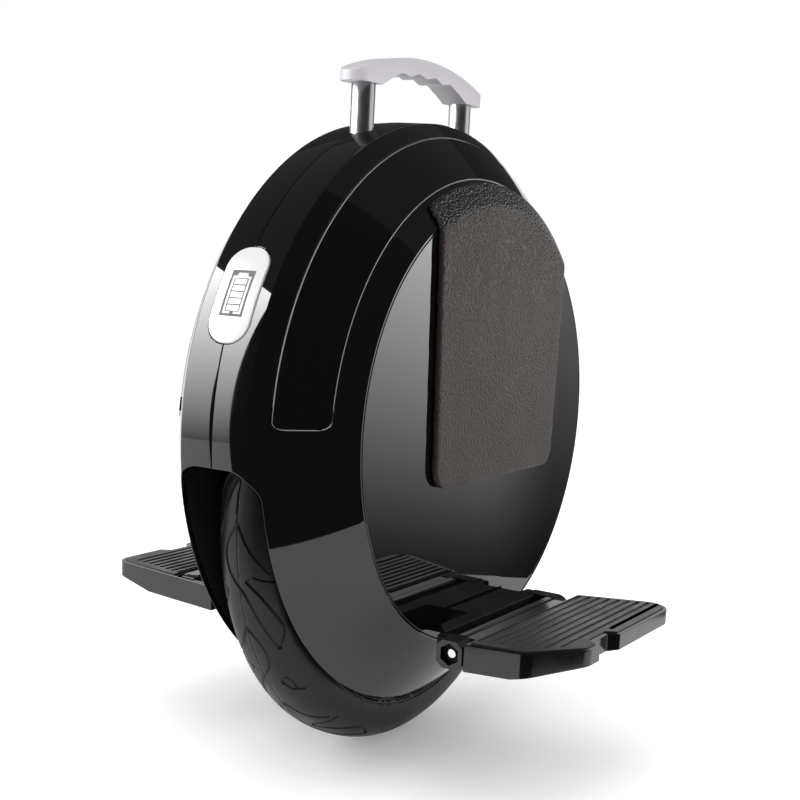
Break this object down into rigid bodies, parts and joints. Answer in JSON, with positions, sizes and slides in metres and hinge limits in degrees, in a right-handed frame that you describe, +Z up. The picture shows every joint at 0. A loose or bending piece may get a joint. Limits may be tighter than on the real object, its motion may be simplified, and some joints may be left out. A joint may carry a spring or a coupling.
{
  "type": "electric unicycle",
  "caption": "Self-balancing electric unicycle with a hub motor wheel in a round body, fold-out pedals, leg pads and a pull-up carrying handle.",
  "frame": {"origin": "on the ground at the middle of the tyre's contact with it, which is the middle of the object's lowest face", "axes": "+Z up, -Y towards the front with the battery light, +X towards the rider's left along the axle"},
  "size_m": [0.372, 0.4084, 0.48],
  "materials": {
    "gloss_black_shell": "high gloss black moulded plastic",
    "gloss_black_strip": "high gloss black strip panel",
    "mirror_black_plate": "mirror gloss black plastic plate",
    "black_leathered_pad": "black leathered foam pad",
    "satin_silver_grip": "satin silver-grey moulded grip",
    "brushed_steel": "brushed steel tube",
    "bright_steel": "bright plated steel",
    "cast_alloy": "plain cast alloy",
    "black_cast_alloy": "cast alloy, black semi-gloss coat",
    "tyre_rubber": "matt black tyre rubber",
    "pedal_mat_rubber": "ribbed black rubber",
    "matt_black_plastic": "matt black moulded plastic",
    "white_lens": "opal white lens",
    "circuit_board": "green solder resist",
    "battery_wrap": "blue shrink wrap",
    "copper_windings": "enamelled copper wire",
    "magnet_iron": "dark iron"
  },
  "bodies": {
    "body": {"left_shell": "gloss_black_shell", "right_shell": "gloss_black_shell", "wheel_arch_roof": "matt_black_plastic", "left_arch_wall": "matt_black_plastic", "right_arch_wall": "matt_black_plastic", "left_side_plate": "mirror_black_plate", "right_side_plate": "mirror_black_plate", "left_leg_pad": "black_leathered_pad", "right_leg_pad": "black_leathered_pad", "left_strip_panel": "gloss_black_strip", "right_strip_panel": "gloss_black_strip", "battery_light_lens": "white_lens", "battery_light_board": "circuit_board", "handle_guide_front": "matt_black_plastic", "handle_guide_rear": "matt_black_plastic", "axle": "brushed_steel", "motor_stator": "magnet_iron", "left_winding": "copper_windings", "right_winding": "copper_windings", "left_axle_clamp": "cast_alloy", "right_axle_clamp": "cast_alloy", "left_axle_nut": "bright_steel", "right_axle_nut": "bright_steel", "left_hanger": "black_cast_alloy", "right_hanger": "black_cast_alloy", "left_hinge_pin": "bright_steel", "right_hinge_pin": "bright_steel", "button_bezel": "matt_black_plastic", "charging_socket": "matt_black_plastic", "left_battery_pack": "battery_wrap", "right_battery_pack": "battery_wrap", "controller_board": "circuit_board", "controller_heatsink": "cast_alloy"},
    "wheel": {"tyre": "tyre_rubber", "wheel_rim": "black_cast_alloy", "left_motor_cover": "cast_alloy", "right_motor_cover": "cast_alloy", "magnet_ring": "magnet_iron", "left_bearing": "bright_steel", "right_bearing": "bright_steel", "tyre_valve": "bright_steel"},
    "handle": {"handle_grip": "satin_silver_grip", "handle_post_front": "brushed_steel", "handle_post_rear": "brushed_steel"},
    "left_pedal_body": {"left_pedal": "black_cast_alloy", "left_pedal_mat": "pedal_mat_rubber"},
    "right_pedal_body": {"right_pedal": "black_cast_alloy", "right_pedal_mat": "pedal_mat_rubber"},
    "power_button_body": {"power_button": "brushed_steel"},
    "charging_cap_body": {"charging_cap": "matt_black_plastic"}
  },
  "joints": [
    {"name": "wheel_spin", "type": "hinge", "parent": "body", "child": "wheel", "pos_m": [0, 0, 0.178], "axis": [1, 0, 0], "continuous": true},
    {"name": "handle_slide", "type": "slide", "parent": "body", "child": "handle", "axis": [0, 0, 1], "range_m": [-0.025, 0]},
    {"name": "left_pedal_fold", "type": "hinge", "parent": "body", "child": "left_pedal_body", "pos_m": [0.1105, 0, 0.101], "axis": [0, -1, 0], "range_deg": [0, 85]},
    {"name": "right_pedal_fold", "type": "hinge", "parent": "body", "child": "right_pedal_body", "pos_m": [-0.1105, 0, 0.101], "axis": [0, 1, 0], "range_deg": [0, 85]},
    {"name": "power_button_press", "type": "slide", "parent": "body", "child": "power_button_body", "axis": [0, -0.8192, -0.5736], "range_m": [0, 0.0015], "stiffness_N_per_m": 800, "springref_m": -0.002},
    {"name": "charging_cap_turn", "type": "hinge", "parent": "body", "child": "charging_cap_body", "pos_m": [0, 0.19589, 0.29688], "axis": [1, 0, 0], "range_deg": [0, 100]}
  ]
}
